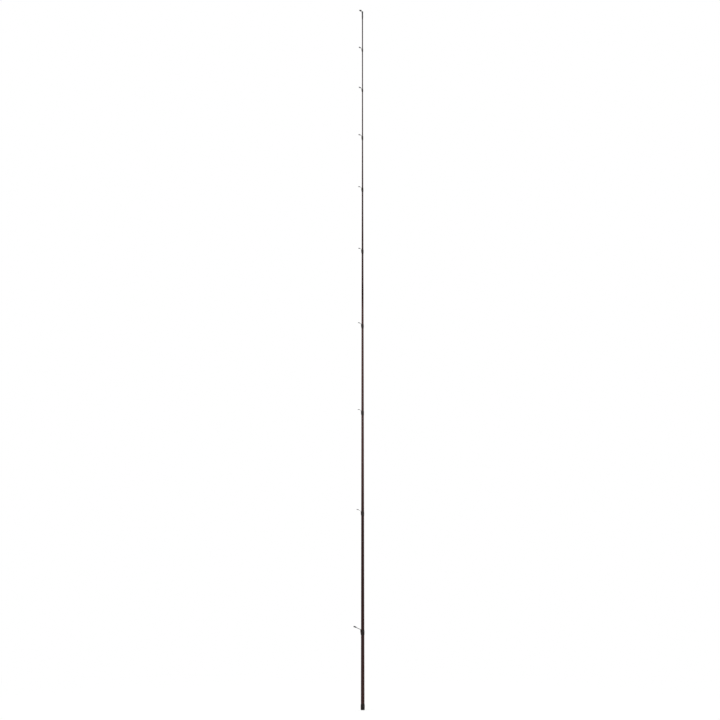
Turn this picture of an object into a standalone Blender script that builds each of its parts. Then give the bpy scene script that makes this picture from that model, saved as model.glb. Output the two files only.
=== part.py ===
"""Tip section of a two-piece float rod, in the pieces that it is built from.

A hollow, tapered carbon blank stands on its open ferrule end. Nine single-foot
guides and a tip ring lie on its -X side. Each guide is a wire frame with a seat,
a ceramic insert bonded in the seat, and a varnished thread whipping that binds
the foot to the blank. The tip ring's frame ends in a cap over the blank's tip,
and one more whipping keeps the ferrule from splitting.

The units are metres. +Z runs from the ferrule to the tip, and the origin is the
centre of the ferrule's mouth. The guides are numbered from the tip.
"""

import math
from collections import namedtuple

import bmesh
import bpy
from mathutils import Vector

# Fits: every bonded piece lies a line of adhesive away from what carries it
GLUE_LINE = 0.00005

# Blank: outside diameters are set at the ferrule, at each guide and at the tip,
# and the tip ring's height above the ferrule sets the section's length
TIP_RING_STATION = 1.7143
BUTT_DIAMETER = 0.0091
BUTT_WALL = 0.0008
TIP_DIAMETER = 0.00265
TIP_WALL = 0.0007

# Ferrule whipping
FERRULE_WHIPPING_START = 0.0003
FERRULE_WHIPPING_LENGTH = 0.0150
FERRULE_WHIPPING_BUILD = 0.00060

# Guides: gap is the distance up to the next ring, blank is the blank's diameter
# beside the ring, height is the ring's centre above the blank's axis, outside and
# depth are the seat's diameter and its length along the line, tilt is the angle in
# degrees by which the ring's outer edge leans to the tip, and thread and build are
# the whipping's length and its thickness at the middle
Guide = namedtuple("Guide", "gap blank height outside depth tilt wire thread build")
GUIDES = (
    Guide(0.0906, 0.00265, 0.0065, 0.0052, 0.0023, 25, 0.00075, 0.0080, 0.00045),
    Guide(0.0980, 0.00270, 0.0066, 0.0052, 0.0021, 25, 0.00075, 0.0085, 0.00045),
    Guide(0.1159, 0.00300, 0.0073, 0.0052, 0.0020, 15, 0.00075, 0.0100, 0.00045),
    Guide(0.1272, 0.00370, 0.0080, 0.0050, 0.0016, 8, 0.00065, 0.0095, 0.00048),
    Guide(0.1511, 0.00445, 0.0079, 0.0049, 0.0016, 8, 0.00065, 0.0095, 0.00048),
    Guide(0.1825, 0.00530, 0.0087, 0.0052, 0.0015, 8, 0.00075, 0.0102, 0.00040),
    Guide(0.2125, 0.00620, 0.0095, 0.0054, 0.0010, 2, 0.00060, 0.0105, 0.00034),
    Guide(0.2450, 0.00715, 0.0123, 0.0054, 0.0013, 5, 0.00070, 0.0107, 0.00036),
    Guide(0.2875, 0.00820, 0.0191, 0.0070, 0.0028, 20, 0.00135, 0.0132, 0.00050),
)
# Bare blank from the ferrule whipping up to the lowest ring, at the least
LOWEST_RING_ROOM = 0.035
SEAT_WALL = 0.00042
SEAT_EDGE = 0.00015
INSERT_WALL = 0.00055
INSERT_RIM = 0.00020
INSERT_PROUD = 0.00018
LEG_SLOPE = math.radians(25)
LEG_BEND_RADIUS = 0.0011
LEG_START_SHARE = 0.50
FOOT_COVER = 0.00008
FOOT_ABOVE_BEND = 0.00015
FOOT_SHOWN = 0.00025
FOOT_SHORT_OF_THREAD = 0.0015
FOOT_TIP_THICKNESS = 0.00022
FOOT_TIP_WIDTH = 0.0007
FOOT_EDGE = 0.00008

# Every whipping's thickness at its two ends
WHIPPING_END_BUILD = 0.00014

# Tip ring
TIP_RING_HEIGHT = 0.0048
TIP_RING_OUTSIDE = 0.0060
TIP_RING_DEPTH = 0.0028
TIP_RING_TILT = 4
TIP_RING_ABOVE_CAP = 0.0017
TIP_CAP_LENGTH = 0.0145
TIP_CAP_WALL = 0.0003
TIP_CAP_TOP = 0.0005
TIP_CAP_CROWN = 0.0006
TIP_LEG_WIRE = 0.0008
TIP_LEG_FORWARD = 0.0015
TIP_LEG_REACH = 0.0045
TIP_LEG_LENGTH = 0.0065
TIP_LEG_END_SHARE = 0.25
TIP_WHIPPING_ON_CAP = 0.0025
TIP_WHIPPING_LENGTH = 0.0080
TIP_WHIPPING_BUILD = 0.00028

# Facets of everything turned, which all start on the same ray so that nested
# pieces keep their clearance all round
FACETS = 20
WIRE_BEVEL_RESOLUTION = 2
WELD_DISTANCE = 0.000004

PARTS = "float_rod_tip_section"
CUTTERS = "cutters"

Finish = namedtuple("Finish", "colour metallic roughness")
FINISHES = {
    "blank_lacquer": Finish((0.035, 0.018, 0.017), 0.0, 0.22),
    "whipping_varnish": Finish((0.022, 0.015, 0.013), 0.0, 0.25),
    "frame_steel": Finish((0.06, 0.06, 0.063), 1.0, 0.25),
    "insert_ceramic": Finish((0.05, 0.05, 0.055), 0.0, 0.15),
}


def clear_scene():
    for obj in list(bpy.data.objects):
        bpy.data.objects.remove(obj, do_unlink=True)


def new_collection(name):
    collection = bpy.data.collections.new(name)
    bpy.context.scene.collection.children.link(collection)
    return collection


def new_materials():
    """One Principled material for each finish, by name."""
    materials = {}
    for name, finish in FINISHES.items():
        material = bpy.data.materials.new(name)
        material.use_nodes = True
        shader = material.node_tree.nodes["Principled BSDF"]
        shader.inputs["Base Color"].default_value = (*finish.colour, 1.0)
        shader.inputs["Metallic"].default_value = finish.metallic
        shader.inputs["Roughness"].default_value = finish.roughness
        materials[name] = material
    return materials


def add_part(name, data, finish):
    """A visible object, which is one piece of the rod."""
    obj = bpy.data.objects.new(name, data)
    bpy.data.collections[PARTS].objects.link(obj)
    data.materials.append(bpy.data.materials[finish])
    return obj


def add_cutter(name, data):
    """A hidden object that a Boolean adds to or takes from a part."""
    obj = bpy.data.objects.new(name, data)
    bpy.data.collections[CUTTERS].objects.link(obj)
    obj.hide_render = True
    obj.display_type = "WIRE"
    return obj


def boolean(obj, operation, other):
    modifier = obj.modifiers.new(f"{operation.lower()} {other.name}", "BOOLEAN")
    modifier.operation = operation
    modifier.solver = "EXACT"
    modifier.object = other


def bevel(obj, width):
    modifier = obj.modifiers.new("edges", "BEVEL")
    modifier.width = width
    modifier.segments = 1
    modifier.limit_method = "ANGLE"


def weld(obj):
    """Closes the hair-fine edges that a Boolean leaves where two facets nearly meet."""
    modifier = obj.modifiers.new("weld", "WELD")
    modifier.merge_threshold = WELD_DISTANCE


def shade_by_area(obj):
    """Lets an object's large faces set its normals, where a Boolean left slivers."""
    modifier = obj.modifiers.new("shading", "WEIGHTED_NORMAL")
    modifier.mode = "FACE_AREA"
    modifier.keep_sharp = True


def finished_mesh(name, shape):
    """The bmesh as smooth mesh data, with its creases kept sharp."""
    mesh = bpy.data.meshes.new(name)
    shape.to_mesh(mesh)
    shape.free()
    mesh.shade_smooth()
    mesh.set_sharp_from_angle(angle=math.radians(35))
    return mesh


def profile_mesh(name, profile, closed):
    """A turned piece's outline as edges in the XZ plane, from (radius, z) pairs."""
    shape = bmesh.new()
    points = [shape.verts.new((radius, 0.0, z)) for radius, z in profile]
    pairs = list(zip(points, points[1:]))
    if closed:
        pairs.append((points[-1], points[0]))
    for pair in pairs:
        shape.edges.new(pair)
    mesh = bpy.data.meshes.new(name)
    shape.to_mesh(mesh)
    shape.free()
    return mesh


def turn(obj):
    """Turns the object's profile about its own Z axis."""
    screw = obj.modifiers.new("turn", "SCREW")
    screw.steps = FACETS
    screw.render_steps = FACETS
    screw.use_merge_vertices = True
    screw.merge_threshold = 1e-6
    screw.use_smooth_shade = True


def loft_mesh(name, sections):
    """A closed skin over (z, outline) pairs that climb, each outline anticlockwise."""
    shape = bmesh.new()
    rings = [[shape.verts.new((x, y, z)) for x, y in outline] for z, outline in sections]
    for lower, upper in zip(rings, rings[1:]):
        for here in range(len(lower)):
            there = (here + 1) % len(lower)
            shape.faces.new((lower[here], lower[there], upper[there], upper[here]))
    shape.faces.new(reversed(rings[0]))
    shape.faces.new(rings[-1])
    return finished_mesh(name, shape)


def cylinder_mesh(name, radius, length):
    shape = bmesh.new()
    bmesh.ops.create_cone(
        shape, cap_ends=True, segments=FACETS, radius1=radius, radius2=radius, depth=length
    )
    return finished_mesh(name, shape)


def rounded_corner(before, corner, after, radius, steps=4):
    """Points of the arc of this radius that joins two straight runs."""
    arriving = (corner - before).normalized()
    leaving = (after - corner).normalized()
    turn_angle = arriving.angle(leaving)
    setback = radius * math.tan(turn_angle / 2)
    start = corner - arriving * setback
    inward = (leaving - arriving * arriving.dot(leaving)).normalized()
    centre = start + inward * radius
    points = []
    for step in range(steps + 1):
        angle = turn_angle * step / steps
        across = inward * math.cos(angle)
        forward = arriving * math.sin(angle)
        points.append(centre + (forward - across) * radius)
    return points


def wire_mesh(name, points, diameter, start_share, end_share=1.0):
    """A round wire through the points, thinned at its ends, as a closed mesh."""
    curve = bpy.data.curves.new(name, "CURVE")
    curve.dimensions = "3D"
    curve.bevel_depth = diameter / 2
    curve.bevel_resolution = WIRE_BEVEL_RESOLUTION
    curve.use_fill_caps = True
    spline = curve.splines.new("POLY")
    spline.points.add(len(points) - 1)
    for place, point in zip(spline.points, points):
        place.co = (*point, 1.0)
    spline.points[0].radius = start_share
    spline.points[-1].radius = end_share
    guide = bpy.data.objects.new(name, curve)
    bpy.context.scene.collection.objects.link(guide)
    graph = bpy.context.evaluated_depsgraph_get()
    mesh = bpy.data.meshes.new_from_object(guide.evaluated_get(graph))
    bpy.data.objects.remove(guide, do_unlink=True)
    shape = bmesh.new()
    shape.from_mesh(mesh)
    bmesh.ops.remove_doubles(shape, verts=shape.verts, dist=1e-6)
    bmesh.ops.recalc_face_normals(shape, faces=shape.faces)
    bpy.data.meshes.remove(mesh)
    return finished_mesh(name, shape)


def placed_guides():
    """(guide, height of its ring's centre) from the tip down, as far as there is room."""
    lowest = FERRULE_WHIPPING_START + FERRULE_WHIPPING_LENGTH + LOWEST_RING_ROOM
    placed = []
    height = TIP_RING_STATION
    for guide in GUIDES:
        height -= guide.gap
        if height > lowest:
            placed.append((guide, height))
    return placed


def cap_top():
    return TIP_RING_STATION - TIP_RING_ABOVE_CAP


def blank_top():
    return cap_top() - TIP_CAP_TOP - GLUE_LINE


def blank_stations():
    """(height, radius) of the blank's outside, from the ferrule up."""
    stations = [(0.0, BUTT_DIAMETER / 2)]
    for guide, height in reversed(placed_guides()):
        stations.append((height, guide.blank / 2))
    stations.append((blank_top(), TIP_DIAMETER / 2))
    return stations


def blank_radius(height):
    """The blank's outside radius at this height."""
    stations = blank_stations()
    for (low, low_radius), (high, high_radius) in zip(stations, stations[1:]):
        if height <= high:
            break
    share = (height - low) / (high - low)
    return low_radius + share * (high_radius - low_radius)


def build_blank():
    """The hollow blank, whose bore is the ferrule's socket at its lower end."""
    top = blank_top()
    outside = [(radius, height) for height, radius in reversed(blank_stations())]
    bore = []
    for height, radius in blank_stations():
        wall = BUTT_WALL + (TIP_WALL - BUTT_WALL) * height / top
        bore.append((radius - wall, height))
    blank = add_part("blank", profile_mesh("blank", outside + bore, closed=True), "blank_lacquer")
    turn(blank)


def build_blank_core():
    """The blank's outside and its glue line, which every whipping is cut by."""
    stations = blank_stations()
    low_end = stations[0][0] - BUTT_WALL
    high_end = stations[-1][0] + BUTT_WALL
    profile = [(0.0, high_end), (stations[-1][1] + GLUE_LINE, high_end)]
    profile += [(radius + GLUE_LINE, height) for height, radius in reversed(stations)]
    profile += [(stations[0][1] + GLUE_LINE, low_end), (0.0, low_end)]
    core = add_cutter("blank_core", profile_mesh("blank_core", profile, closed=False))
    turn(core)
    return core


def bead(share, build, end_build):
    """Thickness of thread and varnish at this share of a whipping's length."""
    swelling = math.sqrt(max(0.0, math.sin(math.pi * share)))
    return end_build + (build - end_build) * swelling


BEAD_SHARES = (0.0, 0.05, 0.2, 0.5, 0.8, 0.95, 1.0)


def build_ferrule_whipping():
    low = FERRULE_WHIPPING_START
    high = low + FERRULE_WHIPPING_LENGTH
    outside = []
    for share in reversed(BEAD_SHARES):
        height = low + share * FERRULE_WHIPPING_LENGTH
        thickness = bead(share, FERRULE_WHIPPING_BUILD, WHIPPING_END_BUILD)
        outside.append((blank_radius(height) + thickness, height))
    bore = [(blank_radius(height) + GLUE_LINE, height) for height in (low, high)]
    mesh = profile_mesh("ferrule_whipping", outside + bore, closed=True)
    turn(add_part("ferrule_whipping", mesh, "whipping_varnish"))


def seat_bore_radius(outside):
    return outside / 2 - SEAT_WALL


def place_ring(obj, centre, tilt):
    """Sets a ring's axis along the rod, with its outer edge leaning to the tip."""
    obj.location = centre
    obj.rotation_euler = (0.0, math.radians(tilt), 0.0)


def build_insert(name, centre, outside, depth, tilt):
    """The ceramic ring: flat outside, with rims that round over into its bore."""
    radius = seat_bore_radius(outside) - GLUE_LINE
    rim = depth / 2 + INSERT_PROUD
    profile = [(radius, depth / 2), (radius, -depth / 2)]
    for degrees in (-90, -45, 0, 45, 90):
        angle = math.radians(degrees)
        across = INSERT_RIM + (INSERT_WALL - INSERT_RIM) * math.cos(angle)
        profile.append((radius - across, rim * math.sin(angle)))
    insert = add_part(name, profile_mesh(name, profile, closed=True), "insert_ceramic")
    turn(insert)
    place_ring(insert, centre, tilt)


def seat_shapes(name, centre, outside, depth, tilt):
    """The disc that becomes a seat, and the cutter that bores it."""
    disc = add_cutter(f"{name}_seat", cylinder_mesh(f"{name}_seat", outside / 2, depth))
    bevel(disc, SEAT_EDGE)
    bore = add_cutter(
        f"{name}_bore", cylinder_mesh(f"{name}_bore", seat_bore_radius(outside), 3 * depth)
    )
    for shape in (disc, bore):
        place_ring(shape, centre, tilt)
    return disc, bore


# A guide's foot: under is its flat side's distance from the axis, corner is the
# height where the legs' lines meet it, and top and end are its two ends
Foot = namedtuple("Foot", "under corner top end thick wide leg_spread")


def foot_of(guide, ring_height):
    thick = guide.wire + 2 * FOOT_COVER
    rise = guide.height - blank_radius(ring_height) - thick / 2
    corner = ring_height - rise * math.tan(LEG_SLOPE)
    bend_end = corner - LEG_BEND_RADIUS * math.tan((math.pi / 2 - LEG_SLOPE) / 2)
    top = bend_end + FOOT_ABOVE_BEND
    end = top - FOOT_SHOWN - guide.thread + FOOT_SHORT_OF_THREAD
    leg_spread = guide.wire / 2 + FOOT_COVER / 2
    return Foot(
        under=blank_radius(end) + GLUE_LINE,
        corner=corner,
        top=top,
        end=end,
        thick=thick,
        wide=2 * (leg_spread + guide.wire / 2 + FOOT_COVER),
        leg_spread=leg_spread,
    )


def foot_size(foot, height):
    """(thickness, width) of the foot at this height, by its taper to its end."""
    share = min(1.0, max(0.0, (height - foot.end) / (foot.top - foot.end)))
    thickness = FOOT_TIP_THICKNESS + share * (foot.thick - FOOT_TIP_THICKNESS)
    width = FOOT_TIP_WIDTH + share * (foot.wide - FOOT_TIP_WIDTH)
    return thickness, width


def foot_mesh(name, foot, grown):
    """The foot's wedge, grown on every side by this much."""
    shape = bmesh.new()
    bmesh.ops.create_cube(shape, size=1.0)
    for corner in shape.verts:
        height = foot.top if corner.co.z > 0 else foot.end
        thickness, width = foot_size(foot, height)
        outer = corner.co.x < 0
        corner.co = (
            -(foot.under + thickness + grown) if outer else -(foot.under - grown),
            math.copysign(width / 2 + grown, corner.co.y),
            height + math.copysign(grown, corner.co.z),
        )
    return finished_mesh(name, shape)


def leg_points(centre, side, seat_middle, foot):
    """One leg's route: from the ring's flank, in to the blank and down the foot."""
    along = foot.under + foot.thick / 2
    start = centre + Vector((0.0, side * seat_middle, 0.0))
    corner = Vector((-along, side * foot.leg_spread, foot.corner))
    down = Vector((0.0, 0.0, -foot.thick))
    bend = rounded_corner(start, corner, corner + down, LEG_BEND_RADIUS)
    return [start] + bend + [bend[-1] + down]


def build_frame(name, guide, centre, foot):
    """The steel frame: a foot, two legs and the seat that they carry."""
    frame = add_part(name, foot_mesh(name, foot, grown=0.0), "frame_steel")
    bevel(frame, FOOT_EDGE)
    disc, bore = seat_shapes(name, centre, guide.outside, guide.depth, guide.tilt)
    seat_middle = (guide.outside - SEAT_WALL) / 2
    for label, side in (("left", 1), ("right", -1)):
        points = leg_points(centre, side, seat_middle, foot)
        leg = wire_mesh(f"{name}_{label}_leg", points, guide.wire, LEG_START_SHARE)
        boolean(frame, "UNION", add_cutter(leg.name, leg))
    boolean(frame, "UNION", disc)
    boolean(frame, "DIFFERENCE", bore)
    weld(frame)
    shade_by_area(frame)


def wrapping_angles():
    """Directions round a whipping, twice as close on its foot's side, -X."""
    step = 2 * math.pi / FACETS
    angles = []
    for facet in range(FACETS):
        angles.append(facet * step)
        between = (facet + 0.5) * step
        if math.cos(between) < 0:
            angles.append(between)
    return angles


def wrapped_outline(core, foot_top, foot_width, thickness):
    """Thread pulled tight round the blank and a foot on its -X side, as (x, y)."""
    outline = []
    for angle in wrapping_angles():
        outward = Vector((math.cos(angle), math.sin(angle)))
        pressed = [outward * core]
        if foot_top > core:
            pressed += [Vector((-foot_top, side * foot_width / 2)) for side in (1, -1)]
        furthest = max(pressed, key=outward.dot)
        outline.append(furthest + outward * thickness)
    return outline


def build_whipping(name, guide, foot, core):
    """The thread and varnish that bind a guide's foot to the blank."""
    high = foot.top - FOOT_SHOWN
    low = high - guide.thread
    sections = []
    for share in BEAD_SHARES:
        height = low + share * (high - low)
        foot_top = 0.0
        width = 0.0
        if height >= foot.end:
            thickness, width = foot_size(foot, height)
            foot_top = foot.under + thickness
        build = bead(share, guide.build, WHIPPING_END_BUILD)
        sections.append((height, wrapped_outline(blank_radius(height), foot_top, width, build)))
    whipping = add_part(name, loft_mesh(name, sections), "whipping_varnish")
    slot = add_cutter(f"{name}_slot", foot_mesh(f"{name}_slot", foot, grown=GLUE_LINE))
    boolean(whipping, "DIFFERENCE", core)
    boolean(whipping, "DIFFERENCE", slot)
    shade_by_area(whipping)


def build_guides(core):
    for number, (guide, height) in enumerate(placed_guides(), start=1):
        name = f"guide_{number}"
        centre = Vector((-guide.height, 0.0, height))
        foot = foot_of(guide, height)
        build_frame(f"{name}_frame", guide, centre, foot)
        build_insert(f"{name}_insert", centre, guide.outside, guide.depth, guide.tilt)
        build_whipping(f"{name}_whipping", guide, foot, core)


def cap_radius():
    return TIP_DIAMETER / 2 + GLUE_LINE + TIP_CAP_WALL


def build_tip_frame(centre):
    """The tip ring's frame: a cap over the blank, two legs and the seat."""
    top = cap_top()
    radius = cap_radius()
    low = top - TIP_CAP_LENGTH
    profile = [(0.0, top)]
    for degrees in (0, 45, 90):
        angle = math.radians(degrees)
        outward = radius - TIP_CAP_CROWN * (1 - math.sin(angle))
        profile.append((outward, top - TIP_CAP_CROWN * (1 - math.cos(angle))))
    profile += [(radius, low), (0.0, low)]
    name = "tip_frame"
    frame = add_part(name, profile_mesh(name, profile, closed=False), "frame_steel")
    turn(frame)
    disc, ring_bore = seat_shapes(name, centre, TIP_RING_OUTSIDE, TIP_RING_DEPTH, TIP_RING_TILT)
    seat_middle = (TIP_RING_OUTSIDE - SEAT_WALL) / 2
    leg_spread = math.sqrt(radius**2 - TIP_LEG_FORWARD**2)
    for label, side in (("left", 1), ("right", -1)):
        start = centre + Vector((0.0, side * seat_middle, 0.0))
        corner = Vector((-TIP_LEG_FORWARD, side * leg_spread, centre.z - TIP_LEG_REACH))
        finish = corner - Vector((0.0, 0.0, TIP_LEG_LENGTH))
        points = [start] + rounded_corner(start, corner, finish, LEG_BEND_RADIUS) + [finish]
        leg = wire_mesh(
            f"{name}_{label}_leg", points, TIP_LEG_WIRE, LEG_START_SHARE, TIP_LEG_END_SHARE
        )
        boolean(frame, "UNION", add_cutter(leg.name, leg))
    boolean(frame, "UNION", disc)
    boolean(frame, "DIFFERENCE", ring_bore)
    boolean(frame, "DIFFERENCE", build_cap_bore())
    weld(frame)
    shade_by_area(frame)


def build_cap_bore():
    """The cutter that hollows the cap to the blank's tip and its glue line."""
    stations = blank_stations()
    length = TIP_CAP_LENGTH + TIP_CAP_TOP
    wide = TIP_DIAMETER / 2 + GLUE_LINE
    high = stations[-1][0] + GLUE_LINE
    profile = [(0.0, high), (wide, high), (wide, high - length), (0.0, high - length)]
    bore = add_cutter("tip_cap_bore", profile_mesh("tip_cap_bore", profile, closed=False))
    turn(bore)
    return bore


def build_tip_whipping():
    """The whipping that climbs from the blank on to the cap's lower end."""
    cap_low = cap_top() - TIP_CAP_LENGTH
    high = cap_low + TIP_WHIPPING_ON_CAP
    low = high - TIP_WHIPPING_LENGTH
    step = cap_low - GLUE_LINE
    over_cap = cap_radius() + GLUE_LINE
    heights = [low + share * TIP_WHIPPING_LENGTH for share in BEAD_SHARES]
    heights += [step - 2 * TIP_CAP_WALL, step]
    outside = []
    for height in sorted(heights, reverse=True):
        carried = over_cap if height >= step else blank_radius(height)
        build = bead((height - low) / (high - low), TIP_WHIPPING_BUILD, WHIPPING_END_BUILD)
        outside.append((carried + build, height))
    bore = [(blank_radius(low) + GLUE_LINE, low), (blank_radius(step) + GLUE_LINE, step)]
    bore += [(over_cap, step), (over_cap, high)]
    mesh = profile_mesh("tip_whipping", outside + bore, closed=True)
    turn(add_part("tip_whipping", mesh, "whipping_varnish"))


def build_tip():
    centre = Vector((-TIP_RING_HEIGHT, 0.0, TIP_RING_STATION))
    build_tip_frame(centre)
    build_insert("tip_insert", centre, TIP_RING_OUTSIDE, TIP_RING_DEPTH, TIP_RING_TILT)
    build_tip_whipping()


def main():
    clear_scene()
    new_collection(PARTS)
    new_collection(CUTTERS)
    new_materials()
    build_blank()
    build_ferrule_whipping()
    build_guides(build_blank_core())
    build_tip()


main()
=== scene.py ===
"""Looks of a float rod's tip section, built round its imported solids.

Every solid is rebuilt finer where it stands: round tubes and rings, wire legs
that are brazed to their seats, feet that thin to a wedge, and whippings with
their turns of thread under varnish. Places and main sizes are read from the
frame. The rod stands on +Z, and its rings are on the -X side.
"""

import math
from collections import namedtuple

import bmesh
import bpy
import numpy as np
from mathutils import Matrix, Vector


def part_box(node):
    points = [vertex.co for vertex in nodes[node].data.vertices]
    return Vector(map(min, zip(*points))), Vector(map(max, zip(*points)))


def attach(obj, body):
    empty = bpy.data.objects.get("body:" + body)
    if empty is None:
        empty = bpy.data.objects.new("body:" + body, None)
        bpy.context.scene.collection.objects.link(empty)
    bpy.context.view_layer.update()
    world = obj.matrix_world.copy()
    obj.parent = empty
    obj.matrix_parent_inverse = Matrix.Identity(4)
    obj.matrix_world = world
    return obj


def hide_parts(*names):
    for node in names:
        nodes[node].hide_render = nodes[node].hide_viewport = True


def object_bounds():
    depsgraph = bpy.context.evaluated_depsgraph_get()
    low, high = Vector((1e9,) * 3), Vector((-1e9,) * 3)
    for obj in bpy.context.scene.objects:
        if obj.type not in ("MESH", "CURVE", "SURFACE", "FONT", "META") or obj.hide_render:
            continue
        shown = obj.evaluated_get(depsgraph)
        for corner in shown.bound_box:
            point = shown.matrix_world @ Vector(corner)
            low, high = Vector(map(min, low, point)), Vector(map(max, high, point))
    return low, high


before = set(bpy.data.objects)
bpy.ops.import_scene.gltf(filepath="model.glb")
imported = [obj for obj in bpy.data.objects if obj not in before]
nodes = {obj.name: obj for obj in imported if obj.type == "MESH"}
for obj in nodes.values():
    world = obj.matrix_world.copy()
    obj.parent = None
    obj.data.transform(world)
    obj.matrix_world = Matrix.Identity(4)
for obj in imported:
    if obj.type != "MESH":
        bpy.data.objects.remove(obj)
cad_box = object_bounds()

# The photograph: its size, and the rows and columns of the ends of the rod's axis,
# all in pixels. The camera stands level with the rod's middle, far off. Its lens and
# sensor are in millimetres, and how far it sees in metres
PICTURE = 720
TIP_ROW = 9.80
TIP_COLUMN = 362.45
FERRULE_ROW = 710.08
FERRULE_COLUMN = 362.70
LENS = 300
SENSOR = 36
CAMERA_REACH = 100.0

# Reading the solids: decimals of a station's height, how near its corners are to it,
# how near the cap's lower end its rim's corners are, and the share of the cap's radius
# within which its top is the highest corner
HEIGHT_DECIMALS = 6
STATION_REACH = 2e-6
CAP_RIM_REACH = 1e-5
CAP_TOP_SHARE = 0.7

# Guides: the wire of each one's legs, from the tip down
GUIDE_WIRES = (0.00075, 0.00075, 0.00075, 0.00065, 0.00065, 0.00075, 0.00060, 0.00070, 0.00135)

# Every guide's legs: their slope from square to the blank, and the bend into the foot
LEG_SLOPE = math.radians(25)
LEG_BEND_RADIUS = 0.0011

# Every guide's foot: the metal round its wires, how far it reaches above the end of
# their bend, its size at its thin end, how far before that end the thread starts to
# climb, and how round its section is, from 0 for a box to 1 for an oval
FOOT_COVER = 0.00008
FOOT_ABOVE_BEND = 0.00015
FOOT_TIP_THICKNESS = 0.00022
FOOT_TIP_WIDTH = 0.0007
FOOT_LEAD_IN = 0.0009
FOOT_ROUNDNESS = 0.6

# Ring seats: the wall, how deep the waist between the lips is, and where along the
# seat the waist has points
SEAT_WALL = 0.00042
SEAT_WAIST = 0.00007
WAIST_SHARES = (0.25, 0.5, 0.75)

# How a leg meets its seat, as shares of its wire: how far it runs on past the place
# where it touches, and the braze's half sizes along it, across it and outward. Across
# the leg, the braze is no wider than its share of the seat's depth
LEG_OVERRUN = 0.7
BRAZE_LENGTH = 1.5
BRAZE_WIDTH = 0.85
BRAZE_HEIGHT = 0.20
BRAZE_SHARE_OF_SEAT = 0.45

# The tip ring's cap: its rounded edge, and the thread's climb on to it as a multiple
# of the step there
CAP_CROWN = 0.0006
CAP_CLIMB = 2.0

# The tip ring's legs: their wire, how far they lie on the ring's side of the axis, how
# far below the ring they meet the cap, how far they run down it, their thickness at the
# end as a share, how far above the ring's middle they start, and the bend off its flank,
# which has its corner this far below the seat
TIP_LEG_WIRE = 0.0008
TIP_LEG_FORWARD = 0.0015
TIP_LEG_REACH = 0.0045
TIP_LEG_LENGTH = 0.0065
TIP_LEG_END_SHARE = 0.25
TIP_LEG_RISE = 0.0006
TIP_KNEE_BELOW = 0.0002
TIP_KNEE_RADIUS = 0.0007

# Inserts: how thick the ring is at the middle of the bore, and at its rims
INSERT_WALL = 0.00055
INSERT_RIM = 0.00020

# The ferrule's rim is taken off by this much, inside and out
FERRULE_RIM = 0.00012

# Whippings: the turns' pitch and how far the varnish sinks between them, the
# thickness at the middle and at the ends, and the length over which ends round off
THREAD_PITCH = 0.00019
THREAD_RELIEF = 0.000025
FERRULE_BUILD = 0.00060
TIP_BUILD = 0.00028
END_BUILD = 0.00014
END_FILM = 0.00002
END_ROUND = 0.00030

# Glue in the cap and under the inserts, and the gap under a whipping
GLUE_LINE = 0.00005
SLEEVE_GAP = GLUE_LINE / 4

# How far varnish rounds off a whipping's corners, as an angle: where it is thickest
# and where it is thinnest
SOFTEST = math.radians(8.0)
SHARPEST = math.radians(2.5)

# Points round each kind of piece
BLANK_SIDES = 64
RING_SIDES = 72
CAP_SIDES = 48
FOOT_SIDES = 24
WIRE_SIDES = 16
WHIPPING_SIDES = 64
REACHES_A_SIDE = 4
BRAZE_SEGMENTS = 32
BRAZE_RINGS = 16

# Rows of points along a whipping's turn, a foot, a bend, and a leg's straight runs
ROWS_A_TURN = 3
FOOT_STEPS = 12
BEND_STEPS = 8
GUIDE_LEG_STEPS = 8
TIP_FLANK_STEPS = 4
TIP_REACH_STEPS = 6
TIP_LOWER_STEPS = 8

# Further rows in a whipping's rounded ends, as shares of their length
END_ROWS = (0.02, 0.08, 0.2, 0.4)

# Degrees between the points of a seat's lips, and of an insert's and the cap's curves,
# and the places in degrees of the points on a wire's domed end
LIP_STEP = 30
CURVE_STEP = 15
DOME_PLACES = (15, 35, 55, 75)

# Edges that turn by more than this are shaded sharp
SHARP_TURN = math.radians(40)


def node_points(name):
    """A solid's corners, one row of x, y, z for each."""
    return np.array([tuple(vertex.co) for vertex in nodes[name].data.vertices])


def blank_outline():
    """(heights, outer radii, inner radii) of the blank at its stations, from the ferrule."""
    points = node_points("blank")
    heights = np.unique(np.round(points[:, 2], HEIGHT_DECIMALS))
    outer = []
    inner = []
    for height in heights:
        at = points[np.abs(points[:, 2] - height) < STATION_REACH]
        radii = np.hypot(at[:, 0], at[:, 1])
        outer.append(radii.max())
        inner.append(radii.min())
    return heights, np.array(outer), np.array(inner)


HEIGHTS, OUTER, INNER = blank_outline()


def blank_radius(height):
    return float(np.interp(height, HEIGHTS, OUTER))


# A ring as the solids place it: its centre, its axis, and its seat's and its
# insert's radius and length along the axis
Ring = namedtuple("Ring", "centre axis seat_radius seat_depth insert_radius insert_depth")


def ring_of(frame_node, insert_node):
    points = node_points(insert_node)
    centre = (points.min(axis=0) + points.max(axis=0)) / 2
    axis = np.linalg.svd(points - centre)[2][2]
    axis = axis * np.sign(axis[2])
    along = (points - centre) @ axis
    across = np.linalg.norm(points - centre - np.outer(along, axis), axis=1)
    seat = node_points(frame_node) - centre
    seat = seat[seat[:, 0] < 0]
    seat_along = seat @ axis
    seat_across = np.linalg.norm(seat - np.outer(seat_along, axis), axis=1)
    return Ring(
        centre=Vector(centre),
        axis=Vector(axis),
        seat_radius=float(seat_across.max()),
        seat_depth=float(np.ptp(seat_along)),
        insert_radius=float(across.max()),
        insert_depth=float(np.ptp(along)),
    )


def mesh_from(shape, name):
    """A bmesh's shape as a mesh. The bmesh is freed."""
    mesh = bpy.data.meshes.new(name)
    shape.to_mesh(mesh)
    shape.free()
    return mesh


def smooth(mesh):
    mesh.shade_smooth()
    mesh.set_sharp_from_angle(angle=SHARP_TURN)
    return mesh


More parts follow.
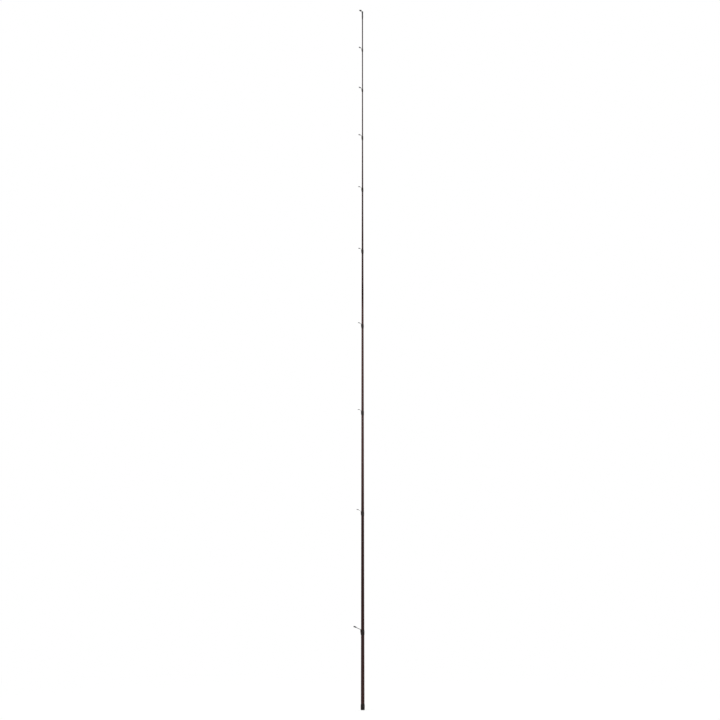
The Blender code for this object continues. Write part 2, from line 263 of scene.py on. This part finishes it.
def mesh_of_rows(name, rows, wrap):
    """A skin over rows of points, each of which closes on itself.

    With wrap, the last row joins the first. Without it, both ends are capped.
    """
    rows = np.asarray(rows, dtype=float)
    count, sides = rows.shape[:2]
    shape = bmesh.new()
    grid = [[shape.verts.new(point) for point in row] for row in rows]
    for here in range(count if wrap else count - 1):
        lower = grid[here]
        upper = grid[(here + 1) % count]
        for side in range(sides):
            after = (side + 1) % sides
            shape.faces.new((lower[side], lower[after], upper[after], upper[side]))
    if not wrap:
        shape.faces.new(grid[0])
        shape.faces.new(grid[-1])
    bmesh.ops.recalc_face_normals(shape, faces=shape.faces)
    return smooth(mesh_from(shape, name))


def circle(radius, height, sides):
    angles = np.arange(sides) * 2 * math.pi / sides
    ring = [radius * np.cos(angles), radius * np.sin(angles), np.full(sides, height)]
    return np.stack(ring, axis=1)


def lathe_mesh(name, profile, sides, wrap=True):
    """A turned piece from (radius, height) pairs."""
    return mesh_of_rows(name, [circle(radius, height, sides) for radius, height in profile], wrap)


def without(vector, way):
    """The vector without its part along this unit vector."""
    return vector - way * vector.dot(way)


def sweep_mesh(name, points, radii, sides):
    """A round wire through the points, with a radius at each."""
    points = [Vector(point) for point in points]
    side_way = Vector((0.0, 1.0, 0.0))
    rows = []
    for index, point in enumerate(points):
        before = points[max(index - 1, 0)]
        after = points[min(index + 1, len(points) - 1)]
        along = (after - before).normalized()
        side_way = without(side_way, along).normalized()
        other_way = along.cross(side_way)
        ring = []
        for side in range(sides):
            angle = 2 * math.pi * side / sides
            offset = side_way * math.cos(angle) + other_way * math.sin(angle)
            ring.append(point + offset * radii[index])
        rows.append(ring)
    return mesh_of_rows(name, rows, wrap=False)


def add_object(name, data):
    obj = bpy.data.objects.new(name, data)
    bpy.context.scene.collection.objects.link(obj)
    return obj


def united(name, meshes, cutter):
    """One closed mesh from several that overlap, less the cutter's space."""
    bodies = [add_object(f"{name}_{index}", mesh) for index, mesh in enumerate(meshes + [cutter])]
    whole = bodies[0]
    for other in bodies[1:]:
        modifier = whole.modifiers.new("join", "BOOLEAN")
        modifier.operation = "DIFFERENCE" if other.data == cutter else "UNION"
        modifier.solver = "EXACT"
        modifier.object = other
    graph = bpy.context.evaluated_depsgraph_get()
    mesh = bpy.data.meshes.new_from_object(whole.evaluated_get(graph))
    for body in bodies:
        bpy.data.objects.remove(body, do_unlink=True)
    return smooth(mesh)


def add_piece(node, mesh, material):
    """A finished piece that stands for one solid and has its name with _fine added."""
    name = f"{node}_fine"
    piece = add_object(name, mesh)
    piece.data.name = name
    piece.data.materials.clear()
    piece.data.materials.append(material)
    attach(piece, "root")
    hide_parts(node)
    return piece


def shade_by_area(piece):
    modifier = piece.modifiers.new("shading", "WEIGHTED_NORMAL")
    modifier.mode = "FACE_AREA"
    modifier.keep_sharp = True


def angles_from(first, last, step):
    """Angles in radians from one number of degrees to another, both included."""
    return [math.radians(degrees) for degrees in range(first, last + 1, step)]


def turned_ring_mesh(name, profile, ring, wrap=True):
    """A piece turned from (radius, height) pairs and set on the ring's axis."""
    mesh = lathe_mesh(name, profile, RING_SIDES, wrap)
    turn = Vector((0.0, 0.0, 1.0)).rotation_difference(ring.axis)
    mesh.transform(Matrix.Translation(ring.centre) @ turn.to_matrix().to_4x4())
    return mesh


def seat_mesh(name, ring):
    """The seat: a short tube with rolled lips and a slight waist between them."""
    outer = ring.seat_radius
    half = ring.seat_depth / 2
    lip = SEAT_WALL / 2
    profile = []
    for first, middle in ((0, half - lip), (180, lip - half)):
        for angle in angles_from(first, first + 180, LIP_STEP):
            profile.append((outer - lip + lip * math.cos(angle), middle + lip * math.sin(angle)))
    for share in WAIST_SHARES:
        height = (2 * share - 1) * (half - lip)
        profile.append((outer - SEAT_WAIST * math.sin(math.pi * share), height))
    return turned_ring_mesh(name, profile, ring)


def insert_mesh(name, ring):
    """The ceramic ring, whose rims round over into its bore."""
    half = ring.insert_depth / 2
    flat = ring.seat_depth / 2
    profile = [(ring.insert_radius, flat), (ring.insert_radius, 0.0), (ring.insert_radius, -flat)]
    for angle in angles_from(-90, 90, CURVE_STEP):
        across = INSERT_RIM + (INSERT_WALL - INSERT_RIM) * math.cos(angle)
        profile.append((ring.insert_radius - across, half * math.sin(angle)))
    return turned_ring_mesh(name, profile, ring)


def bore_mesh(name, ring):
    """The space inside a seat, which legs and braze keep out of."""
    radius = ring.insert_radius + GLUE_LINE / 2
    half = ring.insert_depth / 2 + GLUE_LINE
    return turned_ring_mesh(name, [(radius, half), (radius, -half)], ring, wrap=False)


def rounded_corner(before, corner, after, radius):
    """Points of the arc of this radius that joins two straight runs."""
    arriving = (corner - before).normalized()
    leaving = (after - corner).normalized()
    turn_angle = arriving.angle(leaving)
    start = corner - arriving * radius * math.tan(turn_angle / 2)
    inward = without(leaving, arriving).normalized()
    centre = start + inward * radius
    points = []
    for step in range(BEND_STEPS + 1):
        angle = turn_angle * step / BEND_STEPS
        points.append(centre + (arriving * math.sin(angle) - inward * math.cos(angle)) * radius)
    return points


# A foot: its flat side's distance from the axis, the heights of the legs' corner
# and of its two ends, and its full size where the legs leave it
Foot = namedtuple("Foot", "under corner top end thick wide leg_spread")


def foot_of(frame_node, ring, wire):
    points = node_points(frame_node)
    thick = wire + 2 * FOOT_COVER
    rise = -ring.centre.x - blank_radius(ring.centre.z) - thick / 2
    corner = ring.centre.z - rise * math.tan(LEG_SLOPE)
    bend_end = corner - LEG_BEND_RADIUS * math.tan((math.pi / 2 - LEG_SLOPE) / 2)
    leg_spread = wire / 2 + FOOT_COVER / 2
    return Foot(
        under=-points[:, 0].max(),
        corner=corner,
        top=bend_end + FOOT_ABOVE_BEND,
        end=points[:, 2].min(),
        thick=thick,
        wide=2 * (leg_spread + wire / 2 + FOOT_COVER),
        leg_spread=leg_spread,
    )


def foot_size(foot, height):
    """(thickness, width) of a foot at this height."""
    share = min(1.0, max(0.0, (height - foot.end) / (foot.top - foot.end)))
    thickness = FOOT_TIP_THICKNESS + share * (foot.thick - FOOT_TIP_THICKNESS)
    width = FOOT_TIP_WIDTH + share * (foot.wide - FOOT_TIP_WIDTH)
    return thickness, width


def rounded_slab(thickness, width, under, height):
    """A flat oval across a foot, lying on the blank's side at -X."""
    row = []
    for side in range(FOOT_SIDES):
        angle = 2 * math.pi * side / FOOT_SIDES
        across = math.copysign(abs(math.cos(angle)) ** FOOT_ROUNDNESS, math.cos(angle))
        sideways = math.copysign(abs(math.sin(angle)) ** FOOT_ROUNDNESS, math.sin(angle))
        row.append((-under - thickness / 2 + across * thickness / 2, sideways * width / 2, height))
    return row


def foot_mesh(name, foot):
    """The foot, which thins to its lower end."""
    rows = []
    for step in range(FOOT_STEPS + 1):
        height = foot.end + (foot.top - foot.end) * step / FOOT_STEPS
        thickness, width = foot_size(foot, height)
        rows.append(rounded_slab(thickness, width, foot.under, height))
    return mesh_of_rows(name, rows, wrap=False)


def along_line(start, end, steps):
    """Evenly spaced points from start on, without the end."""
    return [start.lerp(end, step / steps) for step in range(steps)]


def touching_point(ring, corner):
    """Where a leg that comes straight from its corner runs along the seat's wall."""
    across = without(corner - ring.centre, ring.axis)
    reach = ring.seat_radius - SEAT_WALL / 2
    turn = math.copysign(math.acos(reach / across.length), corner.y)
    return ring.centre + Matrix.Rotation(turn, 3, ring.axis) @ across.normalized() * reach


def rounded_end(start, along, radius):
    """(points, radii) of a wire's domed end, which stops short of its full radius."""
    points = []
    radii = []
    for degrees in DOME_PLACES:
        angle = math.radians(degrees)
        points.append(start + along * radius * (1 - math.cos(angle)))
        radii.append(radius * math.sin(angle))
    return points, radii


def guide_leg_mesh(name, touch, corner, foot, wire):
    """One leg, from the ring's flank in to the blank and down into the foot."""
    along = (corner - touch).normalized()
    start = touch - along * LEG_OVERRUN * wire
    points, radii = rounded_end(start, along, wire / 2)
    down = Vector((0.0, 0.0, -foot.thick))
    bend = rounded_corner(touch, corner, corner + down, LEG_BEND_RADIUS)
    rest = along_line(start + along * wire / 2, bend[0], GUIDE_LEG_STEPS) + bend + [bend[-1] + down]
    return sweep_mesh(name, points + rest, radii + [wire / 2] * len(rest), WIRE_SIDES)


def braze_mesh(name, ring, touch, along, wire):
    """A low mound of braze on the seat's wall, round the leg that lies on it."""
    outward = without(touch - ring.centre, ring.axis).normalized()
    forward = without(along, outward).normalized()
    across = outward.cross(forward)
    turn = Matrix((outward, across, forward)).transposed().to_4x4()
    centre = touch + outward * SEAT_WALL / 2
    wide = min(BRAZE_WIDTH * wire, BRAZE_SHARE_OF_SEAT * ring.seat_depth)
    stretch = Matrix.Diagonal((BRAZE_HEIGHT * wire, wide, BRAZE_LENGTH * wire, 1.0))
    shape = bmesh.new()
    bmesh.ops.create_uvsphere(
        shape,
        u_segments=BRAZE_SEGMENTS,
        v_segments=BRAZE_RINGS,
        radius=1.0,
        matrix=Matrix.Translation(centre) @ turn @ stretch,
    )
    return mesh_from(shape, name)


def build_guide_frame(node, ring, foot, wire, material):
    meshes = [seat_mesh(node, ring), foot_mesh(node, foot)]
    for side in (1, -1):
        corner = Vector((-foot.under - foot.thick / 2, side * foot.leg_spread, foot.corner))
        touch = touching_point(ring, corner)
        meshes.append(guide_leg_mesh(node, touch, corner, foot, wire))
        meshes.append(braze_mesh(node, ring, touch, corner - touch, wire))
    mesh = united(node, meshes, bore_mesh(node, ring))
    shade_by_area(add_piece(node, mesh, material))


def swelling(share):
    """0 at both ends, 1 in the middle and steep at the ends."""
    return math.sqrt(max(0.0, math.sin(math.pi * share)))


def film(height, low, high, build):
    """Thickness of thread and varnish at this height, rounded off at both ends."""
    share = (height - low) / (high - low)
    full = END_BUILD + (build - END_BUILD) * swelling(share)
    from_end = min(1.0, min(height - low, high - height) / END_ROUND)
    rounding = math.sqrt(max(0.0, 1.0 - (1.0 - from_end) ** 2))
    return END_FILM + (full - END_FILM) * rounding


def thread_dip(height, angle, low, high):
    """How far the surface sinks between turns of thread, which climb as a helix."""
    from_end = min(height - low, high - height) / END_ROUND
    if from_end < 1.0:
        return 0.0
    phase = 2 * math.pi * (height - low) / THREAD_PITCH - angle
    return THREAD_RELIEF * (1.0 - math.cos(phase)) / 2


def sleeve_heights(low, high):
    """Heights of a whipping's rows, which are closer together at its ends."""
    steps = int((high - low) / THREAD_PITCH * ROWS_A_TURN)
    heights = [low + (high - low) * step / steps for step in range(steps + 1)]
    for share in END_ROWS:
        heights.append(low + share * END_ROUND)
        heights.append(high - share * END_ROUND)
    return sorted(heights)


def taut_section(reach, soften):
    """The closed line whose reach in each direction is this, averaged over its neighbours.

    Thread that is pulled taut makes such a line, with no hollows. Averaging the
    reaches rounds its corners off and leaves no hollow either.
    """
    orders = np.arange(len(reach) // 2 + 1)
    waves = np.fft.rfft(reach) * np.exp(-0.5 * (orders * soften) ** 2)
    smooth_reach = np.fft.irfft(waves, len(reach))
    slope = np.fft.irfft(1j * orders * waves, len(reach))
    angles = np.arange(len(reach)) * 2 * math.pi / len(reach)
    x = smooth_reach * np.cos(angles) - slope * np.sin(angles)
    y = smooth_reach * np.sin(angles) + slope * np.cos(angles)
    return x, y


def whipping_mesh(name, low, high, build, carried, foot=None):
    """Thread under varnish, round what carries it and, if there is one, round a foot."""
    count = WHIPPING_SIDES * REACHES_A_SIDE
    angles = np.arange(count) * 2 * math.pi / count
    ways = np.stack([np.cos(angles), np.sin(angles)])
    rows = []
    for height in sleeve_heights(low, high):
        core = carried(height)
        reach = np.full(count, core)
        if foot and height > foot.end - FOOT_LEAD_IN:
            thickness, width = foot_size(foot, height)
            slab = np.array(rounded_slab(thickness, width, foot.under, height))[:, :2]
            climb = min(1.0, (height - foot.end + FOOT_LEAD_IN) / FOOT_LEAD_IN)
            slab = np.array([-core, 0.0]) + (slab + np.array([core, 0.0])) * climb
            reach = np.maximum(reach, (slab @ ways).max(axis=0))
        thickness = film(height, low, high, build)
        soften = SHARPEST + (SOFTEST - SHARPEST) * thickness / build
        x, y = taut_section(reach, soften)
        row = []
        for index in range(0, count, REACHES_A_SIDE):
            out = thickness - thread_dip(height, angles[index], low, high)
            row.append((x[index] + out * ways[0, index], y[index] + out * ways[1, index], height))
        rows.append(row)
    for height in (high, low):
        rows.append(circle(carried(height) + SLEEVE_GAP, height, WHIPPING_SIDES))
    return mesh_of_rows(name, rows, wrap=True)


def build_blank(material):
    """The tapered tube, with the rim of its ferrule rounded inside and out."""
    outside = list(zip(OUTER, HEIGHTS))[::-1]
    inside = list(zip(INNER, HEIGHTS))
    mouth = HEIGHTS[0]
    outside = outside[:-1] + [(OUTER[0], mouth + FERRULE_RIM), (OUTER[0] - FERRULE_RIM, mouth)]
    inside = [(INNER[0] + FERRULE_RIM, mouth), (INNER[0], mouth + FERRULE_RIM)] + inside[1:]
    mesh = lathe_mesh("blank", outside + inside, BLANK_SIDES)
    add_piece("blank", mesh, material)


def build_whipping(node, carried, material, foot=None, build=None):
    """A whipping as long as its solid, and as thick unless a build is given."""
    low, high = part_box(node)
    if build is None:
        build = high.y - carried((low.z + high.z) / 2)
    mesh = whipping_mesh(node, low.z, high.z, build, carried, foot)
    add_piece(node, mesh, material)


def build_guides(steel, ceramic, thread):
    for number, wire in enumerate(GUIDE_WIRES, start=1):
        frame_node = f"guide_{number}_frame"
        insert_node = f"guide_{number}_insert"
        ring = ring_of(frame_node, insert_node)
        foot = foot_of(frame_node, ring, wire)
        build_guide_frame(frame_node, ring, foot, wire, steel)
        add_piece(insert_node, insert_mesh(insert_node, ring), ceramic)
        build_whipping(f"guide_{number}_whipping", blank_radius, thread, foot)


def cap_size():
    """(outer radius, lower end, top) of the tip ring's cap."""
    points = node_points("tip_frame")
    low = points[:, 2].min()
    rim = points[points[:, 2] < low + CAP_RIM_REACH]
    outer = np.hypot(rim[:, 0], rim[:, 1]).max()
    near_axis = points[np.hypot(points[:, 0], points[:, 1]) < outer * CAP_TOP_SHARE]
    return float(outer), float(low), float(near_axis[:, 2].max())


def cap_mesh(name, radius, low, top):
    """The cap: a thin tube over the blank's tip, closed by a top with a rounded edge."""
    bore = blank_radius(HEIGHTS[-1]) + GLUE_LINE
    ceiling = HEIGHTS[-1] + GLUE_LINE
    profile = []
    for angle in angles_from(0, 90, CURVE_STEP):
        across = radius - CAP_CROWN * (1 - math.sin(angle))
        profile.append((across, top - CAP_CROWN * (1 - math.cos(angle))))
    profile += [(radius, low), (bore, low), (bore, ceiling)]
    return lathe_mesh(name, profile, CAP_SIDES, wrap=False)


def tip_leg_mesh(name, ring, flank, corner):
    """A leg down the ring's flank, in to the cap and down along it, thinning to its end."""
    radius = TIP_LEG_WIRE / 2
    start = flank + ring.axis * TIP_LEG_RISE
    knee = flank - ring.axis * (ring.seat_depth / 2 + TIP_KNEE_BELOW)
    finish = corner - Vector((0.0, 0.0, TIP_LEG_LENGTH))
    points, radii = rounded_end(start, -ring.axis, radius)
    first_bend = rounded_corner(start, knee, corner, TIP_KNEE_RADIUS)
    second_bend = rounded_corner(knee, corner, finish, LEG_BEND_RADIUS)
    full = along_line(start - ring.axis * radius, first_bend[0], TIP_FLANK_STEPS) + first_bend
    full += along_line(first_bend[-1], second_bend[0], TIP_REACH_STEPS)[1:] + second_bend
    lower = along_line(second_bend[-1], finish, TIP_LOWER_STEPS)[1:] + [finish]
    radii += [radius] * len(full)
    for step in range(1, len(lower) + 1):
        radii.append(radius * (1 - (1 - TIP_LEG_END_SHARE) * step / len(lower)))
    return sweep_mesh(name, points + full + lower, radii, WIRE_SIDES)


def build_tip(steel, ceramic, thread):
    node = "tip_frame"
    ring = ring_of(node, "tip_insert")
    radius, low, top = cap_size()
    meshes = [cap_mesh(node, radius, low, top), seat_mesh(node, ring)]
    leg_spread = math.sqrt(radius**2 - TIP_LEG_FORWARD**2)
    for side in (1, -1):
        flank = ring.centre + Vector((0.0, side * (ring.seat_radius - SEAT_WALL / 2), 0.0))
        corner = Vector((-TIP_LEG_FORWARD, side * leg_spread, ring.centre.z - TIP_LEG_REACH))
        meshes.append(tip_leg_mesh(node, ring, flank, corner))
        meshes.append(braze_mesh(node, ring, flank, -ring.axis, TIP_LEG_WIRE))
    mesh = united(node, meshes, bore_mesh(node, ring))
    shade_by_area(add_piece(node, mesh, steel))
    add_piece("tip_insert", insert_mesh("tip_insert", ring), ceramic)

    def carried(height):
        """Radius of the blank or the cap, with thread's climb from one to the other."""
        ramp = CAP_CLIMB * (radius - blank_radius(low))
        share = min(1.0, max(0.0, (height - low + ramp) / ramp))
        return blank_radius(height) + share * (radius - blank_radius(height))

    build_whipping("tip_whipping", carried, thread, build=TIP_BUILD)


# Layers of ever finer noise in a grain
GRAIN_DETAIL = 4.0

# Varnish and lacquer: how much clear coat there is over them, and its index
COAT_WEIGHT = 0.5
COAT_INDEX = 1.3


def new_material(name, colour, metallic, roughness):
    """(nodes, links, shader, material) of a new Principled material.

    Where grain is linked to its colour or roughness, the ones given here are what
    shows wherever nodes can't be read.
    """
    material = bpy.data.materials.new(name)
    material.use_nodes = True
    tree = material.node_tree
    shader = tree.nodes["Principled BSDF"]
    shader.inputs["Base Color"].default_value = (*colour, 1.0)
    shader.inputs["Metallic"].default_value = metallic
    shader.inputs["Roughness"].default_value = roughness
    return tree.nodes, tree.links, shader, material


def add_grain(made, links, scale, detail=GRAIN_DETAIL):
    """Noise that is fixed to the rod, with about this many grains to the metre each way."""
    place = made.new("ShaderNodeTexCoord")
    stretch = made.new("ShaderNodeMapping")
    stretch.inputs["Scale"].default_value = scale
    links.new(place.outputs["Object"], stretch.inputs["Vector"])
    noise = made.new("ShaderNodeTexNoise")
    noise.inputs["Scale"].default_value = 1.0
    noise.inputs["Detail"].default_value = detail
    links.new(stretch.outputs["Vector"], noise.inputs["Vector"])
    return noise.outputs["Fac"]


def add_range(made, links, value, ends, over=(0.0, 1.0), easing="LINEAR"):
    """Goes from one of the ends to the other as the value goes over its own range."""
    spread = made.new("ShaderNodeMapRange")
    spread.interpolation_type = easing
    for name, number in zip(("From Min", "From Max", "To Min", "To Max"), (*over, *ends)):
        spread.inputs[name].default_value = number
    links.new(value, spread.inputs["Value"])
    return spread.outputs["Result"]


def add_height(made, links, length, ends):
    """Goes from one of the ends at the ferrule to the other at this length up the rod."""
    place = made.new("ShaderNodeTexCoord")
    parts = made.new("ShaderNodeSeparateXYZ")
    links.new(place.outputs["Object"], parts.inputs["Vector"])
    return add_range(made, links, parts.outputs["Z"], ends, over=(0.0, length))


def add_math(made, links, operation, one, other):
    node = made.new("ShaderNodeMath")
    node.operation = operation
    links.new(one, node.inputs[0])
    links.new(other, node.inputs[1])
    return node.outputs["Value"]


def add_tone(made, links, shader, share):
    """Makes the shader's colour this share of another, whose socket is returned."""
    tone = made.new("ShaderNodeVectorMath")
    tone.operation = "SCALE"
    links.new(share, tone.inputs["Scale"])
    links.new(tone.outputs["Vector"], shader.inputs["Base Color"])
    return tone.inputs[0]


def add_bump(made, links, shader, height, distance):
    bump = made.new("ShaderNodeBump")
    bump.inputs["Distance"].default_value = distance
    links.new(height, bump.inputs["Height"])
    links.new(bump.outputs["Normal"], shader.inputs["Normal"])


def add_coat(shader, roughness):
    """A clear coat that gives the shader all of its gloss."""
    shader.inputs["Specular IOR Level"].default_value = 0.0
    shader.inputs["Coat Weight"].default_value = COAT_WEIGHT
    shader.inputs["Coat Roughness"].default_value = roughness
    shader.inputs["Coat IOR"].default_value = COAT_INDEX


# The lacquer's colours, which are dark reds that turn greyer towards the tip and nearly
# black there, and the heights in metres where it has them. The paler red in the middle of
# the rod is partly painted highlight. Between two heights it turns evenly from one to the
# other
FERRULE_RED = (0.029, 0.0105, 0.0090)
DEEP_RED = (0.020, 0.0050, 0.0040)
# The lacquer's red, made paler partly by painted highlight
RED_AND_PAINTED_HIGHLIGHT = (0.049, 0.0215, 0.0190)
BAND_RED = (0.012, 0.0010, 0.0005)
UPPER_RED = (0.026, 0.0095, 0.0085)
UPPER_GREY = (0.028, 0.0150, 0.0150)
TIP_BLACK = (0.010, 0.0030, 0.0030)
LACQUER = (
    (0.120, FERRULE_RED),
    (0.260, DEEP_RED),
    (0.450, DEEP_RED),
    (0.620, RED_AND_PAINTED_HIGHLIGHT),
    (0.985, RED_AND_PAINTED_HIGHLIGHT),
    (1.010, BAND_RED),
    (1.036, BAND_RED),
    (1.050, UPPER_RED),
    (1.450, UPPER_RED),
    (1.610, UPPER_GREY),
    (1.690, TIP_BLACK),
)

# The lacquer's plain colour, its roughness and its coat's. Then its fibres and patches:
# the scale of each, the shares of the colour between which each varies, and the fibres'
# relief
LACQUER_PLAIN_COLOUR = (0.03, 0.015, 0.014)
LACQUER_ROUGHNESS = 0.35
LACQUER_COAT_ROUGHNESS = 0.08
FIBRE_SCALE = (900.0, 900.0, 14.0)
FIBRE_TONE = (0.82, 1.18)
FIBRE_RELIEF = 0.000004
PATCH_SCALE = (60.0, 60.0, 9.0)
PATCH_TONE = (0.88, 1.12)


def lacquer_material():
    made, links, shader, material = new_material(
        "blank_lacquer", LACQUER_PLAIN_COLOUR, 0.0, LACQUER_ROUGHNESS
    )
    length = LACQUER[-1][0]
    # Colour by height, whose paler middle is partly painted highlight
    ramp = made.new("ShaderNodeValToRGB")
    stops = ramp.color_ramp.elements
    while len(stops) < len(LACQUER):
        stops.new(1.0)
    for stop, (height, colour) in zip(stops, LACQUER):
        stop.position = height / length
        stop.color = (*colour, 1.0)
    links.new(add_height(made, links, length, (0.0, 1.0)), ramp.inputs["Fac"])
    fibres = add_grain(made, links, FIBRE_SCALE)
    patches = add_grain(made, links, PATCH_SCALE)
    streaks = add_range(made, links, fibres, FIBRE_TONE)
    mottle = add_range(made, links, patches, PATCH_TONE)
    share = add_math(made, links, "MULTIPLY", streaks, mottle)
    links.new(ramp.outputs["Color"], add_tone(made, links, shader, share))
    add_coat(shader, LACQUER_COAT_ROUGHNESS)
    add_bump(made, links, shader, fibres, FIBRE_RELIEF)
    return material


# The thread's colour, then painted shade that darkens it towards the ferrule: the share of
# the colour left there and the height from which it is whole. Then its roughness and its
# coat's, and its strands' scale, tone and relief
THREAD_COLOUR = (0.022, 0.0150, 0.0130)
# Painted shade: the thread's colour is darker towards the ferrule
THREAD_FERRULE_SHADE_SHARE = 0.5
THREAD_UNSHADED_FROM = 0.55
THREAD_ROUGHNESS = 0.4
THREAD_COAT_ROUGHNESS = 0.05
STRAND_SCALE = (2500.0, 2500.0, 9000.0)
STRAND_TONE = (0.6, 1.4)
STRAND_RELIEF = 0.000006


def thread_material():
    made, links, shader, material = new_material(
        "whipping_varnish", THREAD_COLOUR, 0.0, THREAD_ROUGHNESS
    )
    strands = add_grain(made, links, STRAND_SCALE)
    streaks = add_range(made, links, strands, STRAND_TONE)
    # Painted shade, which darkens the thread towards the ferrule
    painted_shade = add_height(made, links, THREAD_UNSHADED_FROM, (THREAD_FERRULE_SHADE_SHARE, 1.0))
    share = add_math(made, links, "MULTIPLY", streaks, painted_shade)
    add_tone(made, links, shader, share).default_value = THREAD_COLOUR
    add_coat(shader, THREAD_COAT_ROUGHNESS)
    add_bump(made, links, shader, strands, STRAND_RELIEF)
    return material


# The steel's colours: on the guides, and on the tip ring, which shows blacker. Then its
# plain roughness, the roughness from its grain, and the grain's scale, detail and relief
GUIDE_STEEL = (0.055, 0.055, 0.058)
TIP_STEEL = (0.020, 0.020, 0.021)
STEEL_PLAIN_ROUGHNESS = 0.22
STEEL_ROUGHNESS = (0.14, 0.34)
STEEL_SCALE = (1500.0, 1500.0, 1500.0)
STEEL_DETAIL = 6.0
STEEL_RELIEF = 0.000006


def steel_material(name, colour):
    made, links, shader, material = new_material(name, colour, 1.0, STEEL_PLAIN_ROUGHNESS)
    tumbled = add_grain(made, links, STEEL_SCALE, STEEL_DETAIL)
    links.new(add_range(made, links, tumbled, STEEL_ROUGHNESS), shader.inputs["Roughness"])
    add_bump(made, links, shader, tumbled, STEEL_RELIEF)
    return material


# The ceramic's colour, its plain roughness, the roughness from its grain, and the
# grain's scale and tone
CERAMIC_COLOUR = (0.05, 0.05, 0.055)
CERAMIC_PLAIN_ROUGHNESS = 0.1
CERAMIC_ROUGHNESS = (0.06, 0.16)
CERAMIC_SCALE = (4000.0, 4000.0, 4000.0)
CERAMIC_TONE = (0.8, 1.2)


def ceramic_material():
    made, links, shader, material = new_material(
        "insert_ceramic", CERAMIC_COLOUR, 0.0, CERAMIC_PLAIN_ROUGHNESS
    )
    grain = add_grain(made, links, CERAMIC_SCALE)
    links.new(add_range(made, links, grain, CERAMIC_ROUGHNESS), shader.inputs["Roughness"])
    share = add_range(made, links, grain, CERAMIC_TONE)
    add_tone(made, links, shader, share).default_value = CERAMIC_COLOUR
    return material


# The stage: a pale floor, and a world that lights the rod at this strength and is white
# where it is seen directly. Near the rod the floor shows this share of its real light
# and shadow, which fades between the two distances to none
FLOOR_SIDE = 30.0
FLOOR_COLOUR = (0.9, 0.9, 0.9)
WORLD_LIGHT = 0.5
FLOOR_SHADOW_SHARE = 0.35
FLOOR_SHADOW_REACH = (0.35, 1.6)

# Each soft light: name, place, size, power in watts
LIGHTS = (
    ("key", (-2.6, -3.4, 2.4), 2.2, 90.0),
    ("fill", (3.2, -2.6, 1.4), 2.6, 45.0),
    ("back", (0.5, 3.6, 2.8), 2.4, 50.0),
    ("top", (0.0, 0.2, 4.2), 2.4, 60.0),
)


def seen_directly(made, links):
    """1 for rays that show the background: the camera's, reflected and refracted ones."""
    path = made.new("ShaderNodeLightPath")
    total = path.outputs["Is Camera Ray"]
    for name in ("Is Glossy Ray", "Is Transmission Ray"):
        total = add_math(made, links, "MAXIMUM", total, path.outputs[name])
    return total


def floor_material():
    """White where it is seen directly, with some of its real light and shadow near the rod."""
    material = bpy.data.materials.new("floor_white")
    material.use_nodes = True
    made = material.node_tree.nodes
    links = material.node_tree.links
    made.clear()
    output = made.new("ShaderNodeOutputMaterial")
    diffuse = made.new("ShaderNodeBsdfDiffuse")
    diffuse.inputs["Color"].default_value = (*FLOOR_COLOUR, 1.0)
    glow = made.new("ShaderNodeEmission")
    mix = made.new("ShaderNodeMixShader")
    place = made.new("ShaderNodeTexCoord")
    away = made.new("ShaderNodeVectorMath")
    away.operation = "LENGTH"
    links.new(place.outputs["Object"], away.inputs[0])
    ends = (1.0 - FLOOR_SHADOW_SHARE, 1.0)
    fade = add_range(made, links, away.outputs["Value"], ends, FLOOR_SHADOW_REACH, "SMOOTHSTEP")
    share = add_math(made, links, "MULTIPLY", seen_directly(made, links), fade)
    links.new(share, mix.inputs["Fac"])
    links.new(diffuse.outputs["BSDF"], mix.inputs[1])
    links.new(glow.outputs["Emission"], mix.inputs[2])
    links.new(mix.outputs["Shader"], output.inputs["Surface"])
    return material


def build_floor():
    shape = bmesh.new()
    bmesh.ops.create_grid(shape, x_segments=1, y_segments=1, size=FLOOR_SIDE / 2)
    mesh = mesh_from(shape, "floor")
    mesh.materials.append(floor_material())
    floor = add_object("floor", mesh)
    floor.location.z = cad_box[0].z


def build_world():
    world = bpy.data.worlds.new("studio")
    bpy.context.scene.world = world
    world.use_nodes = True
    made = world.node_tree.nodes
    links = world.node_tree.links
    background = made["Background"]
    background.inputs["Color"].default_value = (1.0, 1.0, 1.0, 1.0)
    strength = add_range(made, links, seen_directly(made, links), (WORLD_LIGHT, 1.0))
    links.new(strength, background.inputs["Strength"])


def build_lights():
    middle = (cad_box[0] + cad_box[1]) / 2
    for name, place, size, power in LIGHTS:
        data = bpy.data.lights.new(name, "AREA")
        data.shape = "SQUARE"
        data.size = size
        data.energy = power
        light = add_object(name, data)
        light.location = place
        light.rotation_euler = (middle - light.location).to_track_quat("-Z", "Y").to_euler()


def build_camera():
    low, high = cad_box
    rows = FERRULE_ROW - TIP_ROW
    pixel = (high.z - low.z) / rows
    data = bpy.data.cameras.new("camera")
    data.lens = LENS
    data.sensor_width = SENSOR
    data.clip_end = CAMERA_REACH
    camera = add_object("camera", data)
    across = (PICTURE / 2 - (TIP_COLUMN + FERRULE_COLUMN) / 2) * pixel
    lean = math.atan((FERRULE_COLUMN - TIP_COLUMN) / rows)
    up = (low.z + high.z) / 2 + ((TIP_ROW + FERRULE_ROW) / 2 - PICTURE / 2) * pixel
    camera.location = (across, -PICTURE * pixel * LENS / SENSOR, up)
    camera.rotation_euler = (math.radians(90), lean, 0.0)
    bpy.context.scene.camera = camera


def build_object():
    lacquer = lacquer_material()
    thread = thread_material()
    steel = steel_material("frame_steel", GUIDE_STEEL)
    tip_steel = steel_material("tip_steel", TIP_STEEL)
    ceramic = ceramic_material()
    build_blank(lacquer)
    build_whipping("ferrule_whipping", blank_radius, thread, build=FERRULE_BUILD)
    build_guides(steel, ceramic, thread)
    build_tip(tip_steel, ceramic, thread)


bpy.context.scene.view_settings.view_transform = "Standard"
build_object()
build_floor()
build_world()
build_lights()
build_camera()
